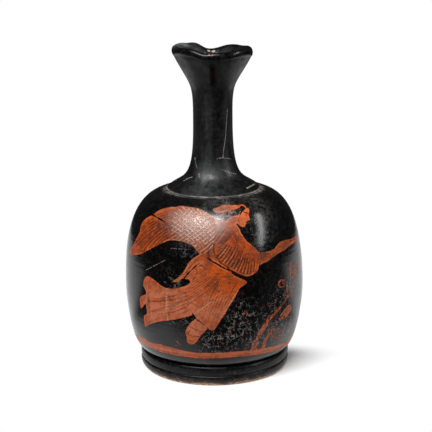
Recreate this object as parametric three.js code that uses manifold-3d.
// Squat lekythos: a small oil flask of fired clay with a ring foot, a round body, a slim neck,
// a flaring mouth with a wavy lip and a strap handle. Millimetres, +Z up.
// The origin is the centre of the foot's resting face. The painted front faces -Y, the handle +Y.
// The pieces are thrown or pulled one by one and luted together with thin layers of slip.
import * as THREE from 'three';
import { mergeVertices } from 'three/addons/utils/BufferGeometryUtils.js';
import Module from 'manifold-3d';

// Joints between the pieces
const SLIP_THICKNESS = 0.6;
const SLIP_RECESS = 0.7;
const SEAT_CLEARANCE = 0.3;

// Foot ring of two degrees
const FOOT_RADIUS = 36.8;
const FOOT_HEIGHT = 9.8;
const FOOT_WALL = 10.3;
const LOWER_DEGREE_HEIGHT = 5.0;
const DEGREE_GROOVE = 0.8;
const RESTING_INSET = 1.8;
const RESTING_WIDTH = 5.4;
const FOOT_SEAT_INSET = 1.4;

// Hollow body
const BODY_RADIUS = 43.8;
const BODY_HEIGHT = 78.4;
const BELLY_RISE = 30.0;
const BODY_WALL = 4.0;
const FLOOR_THICKNESS = 5.0;
const BASE_DISC_DEPTH = 3.0;
const BASE_SPREAD = 5.9;
const BASE_LIFT = 0.2;
const SHOULDER_REACH = 13.0;
const SHOULDER_FALL = 0.08;

// Neck with its collar
const COLLAR_RADIUS = 22.9;
const COLLAR_SEAT_WIDTH = 7.9;
const NECK_RADIUS = 9.5;
const NECK_WALL = 4.3;
const NECK_HEIGHT = 47.0;
const NECK_WAIST_RISE = 31.8;
const NECK_TOP_RADIUS = 10.25;
const NECK_SPIGOT_LENGTH = 5.0;
const NECK_SPIGOT_WALL = 3.8;
const COLLAR_REACH = 10.9;
const COLLAR_RISE = 0.39;
const NECK_LEAN = 0.2;

// Mouth with its lip
const MOUTH_HEIGHT = 19.0;
const LIP_RADIUS = 19.3;
const LIP_THICKNESS = 3.4;
const LIP_DEPTH = 3.4;
const LIP_OVERHANG = 0.7;
const MOUTH_SPIGOT_LENGTH = 2.5;
const MOUTH_SPIGOT_WALL = 1.8;
const LEFT_LOBE = 2.0;
const RIGHT_LOBE = 0.9;
const BACK_DIP = 1.3;

// Strap handle
const HANDLE_WIDTH = 13.0;
const HANDLE_THICKNESS = 6.4;
const HANDLE_DROP = 12.5;
const HANDLE_CROWN = 8.0;
const HANDLE_INSET = 12.3;
const HANDLE_BOW = 3.0;
const SLIP_SPREAD = 0.8;

// Shape of the curves, as shares of the stretch that each one spans
const DEGREE_LOWER_EDGE = 0.33;
const DEGREE_FULLEST = 0.7;
const LOWER_ROUNDNESS = 0.205;
const UPPER_ROUNDNESS = 0.695;
const NECK_ROUNDNESS = 0.62;
const NECK_TOP_ROUNDNESS = 0.45;
const NECK_TOP_EASE = 0.27;
const FLARE_START = 0.3;
const FLARE_END = 0.5;
const FUNNEL_ROUNDNESS = 0.5;
const LIP_LOWER_EDGE = 0.8;

// The lip's lobes rise where the sideways share of the radius lies between the first two of these.
// The dip at the back ends at the third.
const LOBE_START = 0.15;
const LOBE_FULL = 0.6;
const DIP_END = 0.45;

// Fineness of the surfaces
const SIDES = 48;
const CURVE_STEPS = 8;
const LIP_STEPS = 4;
const HANDLE_STEPS = 22;
const STRAP_STEPS = 8;
const WELD_DISTANCE = 1e-4;

// Heights of the seats, from the ground up
const bodyBase = FOOT_HEIGHT + SLIP_THICKNESS;
const bellyHeight = bodyBase + BELLY_RISE;
const shoulderSeat = bodyBase + BODY_HEIGHT;
const neckBase = shoulderSeat + SLIP_THICKNESS;
const neckWaist = neckBase + NECK_WAIST_RISE;
const neckTop = neckBase + NECK_HEIGHT;
const mouthBase = neckTop + SLIP_THICKNESS;
const rim = mouthBase + MOUTH_HEIGHT;

// Radii that two pieces share
const footBore = FOOT_RADIUS - FOOT_WALL;
const baseRadius = FOOT_RADIUS - FOOT_SEAT_INSET;
const throatRadius = COLLAR_RADIUS - COLLAR_SEAT_WIDTH;
const boreRadius = NECK_RADIUS - NECK_WALL;
const rebateRadius = boreRadius + MOUTH_SPIGOT_WALL;

// Finishes: black gloss, gloss worn down to the clay, and dried red slip
const BLACK_GLOSS = { color: 0x1d1b1a, roughness: 0.25 };
const WORN_GLOSS = { color: 0x3a2f2a, roughness: 0.45 };
const RED_SLIP = { color: 0xa5583a, roughness: 0.8 };

const wasm = await Module();
wasm.setup();

function curve(startRadius, startHeight, steps, ...arcs) {
  const path = new THREE.Path();
  path.moveTo(startRadius, startHeight);
  for (const arc of arcs) {
    if (arc.length === 4) path.quadraticCurveTo(...arc);
    else path.bezierCurveTo(...arc);
  }
  return path.getPoints(steps);
}

function corner(radius, height) {
  return new THREE.Vector2(radius, height);
}

// Turns an outline of radius and height about the Z axis
function turned(outline) {
  const geometry = new THREE.LatheGeometry(outline, SIDES);
  geometry.rotateX(Math.PI / 2);
  return geometry;
}

function ring(outline) {
  return turned([...outline, outline[0].clone()]);
}

// A flat layer of slip between two seats
function slipRing(innerRadius, outerRadius, height) {
  return ring([
    corner(innerRadius, height),
    corner(outerRadius, height),
    corner(outerRadius, height + SLIP_THICKNESS),
    corner(innerRadius, height + SLIP_THICKNESS),
  ]);
}

// Outer lines, from the bottom up

function footLine() {
  const restingRadius = FOOT_RADIUS - RESTING_INSET;
  const grooveRadius = FOOT_RADIUS - DEGREE_GROOVE;
  const upperMiddle = (LOWER_DEGREE_HEIGHT + FOOT_HEIGHT) / 2;
  return curve(
    restingRadius, 0, LIP_STEPS,
    [FOOT_RADIUS, LOWER_DEGREE_HEIGHT * DEGREE_LOWER_EDGE, FOOT_RADIUS, LOWER_DEGREE_HEIGHT * DEGREE_FULLEST],
    [FOOT_RADIUS, LOWER_DEGREE_HEIGHT, grooveRadius, LOWER_DEGREE_HEIGHT],
    [FOOT_RADIUS, LOWER_DEGREE_HEIGHT, FOOT_RADIUS, upperMiddle],
    [FOOT_RADIUS, FOOT_HEIGHT, baseRadius, FOOT_HEIGHT],
  );
}

// The body's line from its base to its shoulder, moved in by the wall for its inside
function bodyLine(wall, bottomHeight, endRadius) {
  const belly = BODY_RADIUS - wall;
  const bottom = baseRadius - wall;
  const top = shoulderSeat - wall;
  const lowerPull = (bellyHeight - bottomHeight) * LOWER_ROUNDNESS;
  const upperPull = (top - bellyHeight) * UPPER_ROUNDNESS;
  return curve(
    bottom, bottomHeight, CURVE_STEPS,
    [bottom + BASE_SPREAD, bottomHeight + BASE_LIFT, belly, bellyHeight - lowerPull, belly, bellyHeight],
    [
      belly, bellyHeight + upperPull,
      COLLAR_RADIUS + SHOULDER_REACH - wall, top - SHOULDER_REACH * SHOULDER_FALL,
      endRadius, top,
    ],
  );
}

function neckLine() {
  const lowerPull = NECK_WAIST_RISE * NECK_ROUNDNESS;
  const upperPull = (neckTop - neckWaist) * NECK_TOP_ROUNDNESS;
  const topPull = (neckTop - neckWaist) * NECK_TOP_EASE;
  return curve(
    COLLAR_RADIUS, neckBase, CURVE_STEPS,
    [
      COLLAR_RADIUS - COLLAR_REACH, neckBase + COLLAR_REACH * COLLAR_RISE,
      NECK_RADIUS, neckWaist - lowerPull,
      NECK_RADIUS, neckWaist,
    ],
    [
      NECK_RADIUS, neckWaist + upperPull,
      NECK_TOP_RADIUS - topPull * NECK_LEAN, neckTop - topPull,
      NECK_TOP_RADIUS, neckTop,
    ],
  );
}

function mouthLine() {
  const edgeRadius = LIP_RADIUS - LIP_OVERHANG;
  const flareHeight = MOUTH_HEIGHT - LIP_DEPTH;
  const startPull = flareHeight * FLARE_START;
  const endPull = (edgeRadius - NECK_TOP_RADIUS) * FLARE_END;
  return curve(
    NECK_TOP_RADIUS, mouthBase, CURVE_STEPS,
    [
      NECK_TOP_RADIUS + startPull * NECK_LEAN, mouthBase + startPull,
      edgeRadius - endPull, rim - LIP_DEPTH - flareHeight * FLARE_END,
      edgeRadius, rim - LIP_DEPTH,
    ],
  );
}

// The rounded lip, from the mouth's outside over the top to its inside
function lipLine() {
  const middle = rim - LIP_DEPTH / 2;
  const inner = LIP_RADIUS - LIP_THICKNESS;
  const crest = LIP_RADIUS - LIP_THICKNESS / 2;
  return curve(
    LIP_RADIUS - LIP_OVERHANG, rim - LIP_DEPTH, LIP_STEPS,
    [LIP_RADIUS, rim - LIP_DEPTH * LIP_LOWER_EDGE, LIP_RADIUS, middle],
    [LIP_RADIUS, rim, crest, rim],
    [inner, rim, inner - LIP_THICKNESS / 2, middle],
  );
}

// Pieces that are turned on the wheel

function footRing() {
  const restingInner = FOOT_RADIUS - RESTING_INSET - RESTING_WIDTH;
  return ring([
    corner(restingInner, 0),
    ...footLine(),
    corner(footBore, FOOT_HEIGHT),
    corner(footBore, LOWER_DEGREE_HEIGHT),
  ]);
}

function body() {
  const floor = bodyBase - BASE_DISC_DEPTH;
  const insideFloor = floor + FLOOR_THICKNESS;
  const discRadius = footBore - SEAT_CLEARANCE;
  const insideBottom = bodyBase + BODY_WALL;
  return turned([
    corner(0, floor),
    corner(discRadius, floor),
    corner(discRadius, bodyBase),
    ...bodyLine(0, bodyBase, COLLAR_RADIUS),
    corner(throatRadius, shoulderSeat),
    ...bodyLine(BODY_WALL, insideBottom, throatRadius).reverse(),
    corner(discRadius - BODY_WALL, insideFloor),
    corner(0, insideFloor),
  ]);
}

function neck() {
  const spigotRadius = throatRadius - SEAT_CLEARANCE;
  const spigotBottom = neckBase - NECK_SPIGOT_LENGTH;
  const funnelRadius = spigotRadius - NECK_SPIGOT_WALL;
  const funnelTop = neckWaist;
  const pull = (funnelTop - spigotBottom) * FUNNEL_ROUNDNESS;
  const funnel = curve(
    boreRadius, funnelTop, CURVE_STEPS,
    [boreRadius, funnelTop - pull, funnelRadius, neckBase, funnelRadius, spigotBottom],
  );
  return ring([
    corner(spigotRadius, spigotBottom),
    corner(spigotRadius, neckBase),
    ...neckLine(),
    corner(rebateRadius, neckTop),
    corner(rebateRadius, neckTop - MOUTH_SPIGOT_LENGTH),
    corner(boreRadius, neckTop - MOUTH_SPIGOT_LENGTH),
    ...funnel,
  ]);
}

// How far the lip rises at an angle about the axis: a lobe on the left, a lower one on the right
// and a dip at the back
function lipLift(x, y) {
  const sideways = x / Math.hypot(x, y);
  const lobe = sideways < 0 ? LEFT_LOBE : RIGHT_LOBE;
  const dip = y > 0 ? BACK_DIP : 0;
  return lobe * THREE.MathUtils.smoothstep(Math.abs(sideways), LOBE_START, LOBE_FULL)
    - dip * (1 - THREE.MathUtils.smoothstep(Math.abs(sideways), 0, DIP_END));
}

function mouth() {
  const spigotRadius = rebateRadius - SEAT_CLEARANCE;
  const spigotBottom = neckTop - MOUTH_SPIGOT_LENGTH + SEAT_CLEARANCE;
  const lip = lipLine();
  const inside = lip.at(-1);
  const pull = MOUTH_HEIGHT * FUNNEL_ROUNDNESS;
  const funnel = curve(
    inside.x, inside.y, CURVE_STEPS,
    [(inside.x + boreRadius) / 2, rim - pull, boreRadius, mouthBase + pull / 2, boreRadius, mouthBase],
  );
  const geometry = ring([
    corner(boreRadius, spigotBottom),
    corner(spigotRadius, spigotBottom),
    corner(spigotRadius, mouthBase),
    ...mouthLine(),
    ...lip.slice(1),
    ...funnel.slice(1),
  ]);
  const places = geometry.attributes.position;
  for (let i = 0; i < places.count; i += 1) {
    const height = places.getZ(i);
    const share = THREE.MathUtils.smoothstep(height, mouthBase, rim);
    places.setZ(i, height + share * lipLift(places.getX(i), places.getY(i)));
  }
  return geometry;
}

// Solids for cutting

function solid(geometry) {
  const bare = geometry.clone();
  bare.deleteAttribute('normal');
  bare.deleteAttribute('uv');
  const merged = mergeVertices(bare, WELD_DISTANCE);
  return new wasm.Manifold(new wasm.Mesh({
    numProp: 3,
    vertProperties: merged.attributes.position.array,
    triVerts: new Uint32Array(withoutSlivers(merged.index.array)),
  }));
}

// Leaves out the empty triangles where an outline meets the axis
function withoutSlivers(index) {
  const kept = [];
  for (let i = 0; i < index.length; i += 3) {
    const [a, b, c] = index.slice(i, i + 3);
    if (a !== b && b !== c && c !== a) kept.push(a, b, c);
  }
  return kept;
}

function geometryOf(manifold) {
  const mesh = manifold.getMesh();
  const geometry = new THREE.BufferGeometry();
  geometry.setAttribute('position', new THREE.BufferAttribute(mesh.vertProperties, 3));
  geometry.setIndex(new THREE.BufferAttribute(mesh.triVerts, 1));
  return geometry;
}

// Moves an outer line out from the vessel by a distance, square to the line
function grown(line, distance) {
  return line.map((point, i) => {
    const along = line[Math.min(i + 1, line.length - 1)].clone().sub(line[Math.max(i - 1, 0)]);
    along.normalize();
    return corner(point.x + along.y * distance, point.y - along.x * distance);
  });
}

// The whole vessel above its foot as one full solid, grown by a distance
function vesselSolid(distance) {
  const base = bodyBase - distance;
  const top = rim + LEFT_LOBE;
  const line = [
    ...grown(bodyLine(0, bodyBase, COLLAR_RADIUS), distance),
    ...grown([...neckLine(), ...mouthLine()], distance),
  ];
  return solid(turned([
    corner(0, base),
    corner(line[0].x, base),
    ...line,
    corner(line.at(-1).x, top),
    corner(0, top),
  ]));
}

// Strap handle

// Height of a line where it has a given radius, counted from its last point
function heightAt(line, radius) {
  for (let i = line.length - 1; i > 0; i -= 1) {
    const [upper, lower] = [line[i], line[i - 1]];
    if (radius <= lower.x) {
      return THREE.MathUtils.mapLinear(radius, upper.x, lower.x, upper.y, lower.y);
    }
  }
  return line[0].y;
}

// The strap's middle line leaves the neck level, bows out and comes down on the shoulder
function handlePath() {
  const rootHeight = neckTop - HANDLE_DROP;
  const footRadius = BODY_RADIUS - HANDLE_INSET;
  const footHeight = heightAt(bodyLine(0, bodyBase, COLLAR_RADIUS), footRadius);
  const crown = rootHeight + HANDLE_CROWN;
  const buried = 2 * HANDLE_THICKNESS;
  const loop = new THREE.CurvePath();
  const start = new THREE.Vector3(0, boreRadius, rootHeight);
  const middle = new THREE.Vector3(0, footRadius + HANDLE_BOW, (rootHeight + footHeight) / 2);
  const end = new THREE.Vector3(0, footRadius, footHeight - buried);
  loop.add(new THREE.CubicBezierCurve3(
    start,
    new THREE.Vector3(0, (boreRadius + middle.y) / 2, crown),
    new THREE.Vector3(0, middle.y, crown),
    middle,
  ));
  loop.add(new THREE.CubicBezierCurve3(
    middle,
    new THREE.Vector3(0, middle.y, footHeight + buried / 2),
    new THREE.Vector3(0, footRadius, footHeight),
    end,
  ));
  return loop;
}

function strap(spread) {
  const section = new THREE.Shape();
  section.absellipse(0, 0, HANDLE_WIDTH / 2 + spread, HANDLE_THICKNESS / 2 + spread, 0, 2 * Math.PI);
  return solid(new THREE.ExtrudeGeometry(section, {
    steps: HANDLE_STEPS,
    curveSegments: STRAP_STEPS,
    extrudePath: handlePath(),
    bevelEnabled: false,
  }));
}

// A block that holds the upper or the lower half of the handle
function half(sign) {
  const middle = (neckTop - HANDLE_DROP + shoulderSeat) / 2;
  const size = 2 * rim;
  const block = new THREE.BoxGeometry(size, size, size);
  block.translate(0, 0, middle + sign * size / 2);
  return solid(block);
}

const padInside = vesselSolid(SEAT_CLEARANCE);
const padOutside = vesselSolid(SEAT_CLEARANCE + SLIP_THICKNESS);
const handleCut = vesselSolid(2 * SEAT_CLEARANCE + SLIP_THICKNESS);
const pads = strap(SLIP_SPREAD).intersect(padOutside).subtract(padInside);

// Assembly

const vessel = new THREE.Group();

function add(name, geometry, finish) {
  const mesh = new THREE.Mesh(geometry, new THREE.MeshStandardMaterial({ ...finish, metalness: 0 }));
  mesh.name = name;
  vessel.add(mesh);
}

add('foot_ring', footRing(), WORN_GLOSS);
add('foot_slip', slipRing(footBore, baseRadius - SLIP_RECESS, FOOT_HEIGHT), RED_SLIP);
add('body', body(), BLACK_GLOSS);
add('neck_slip', slipRing(throatRadius, COLLAR_RADIUS - SLIP_RECESS, shoulderSeat), RED_SLIP);
add('neck', neck(), BLACK_GLOSS);
add('mouth_slip', slipRing(rebateRadius, NECK_TOP_RADIUS - SLIP_RECESS, neckTop), RED_SLIP);
add('mouth', mouth(), BLACK_GLOSS);
add('handle', geometryOf(strap(0).subtract(handleCut)), BLACK_GLOSS);
add('handle_neck_slip', geometryOf(pads.intersect(half(1))), RED_SLIP);
add('handle_shoulder_slip', geometryOf(pads.intersect(half(-1))), RED_SLIP);

export default vessel;
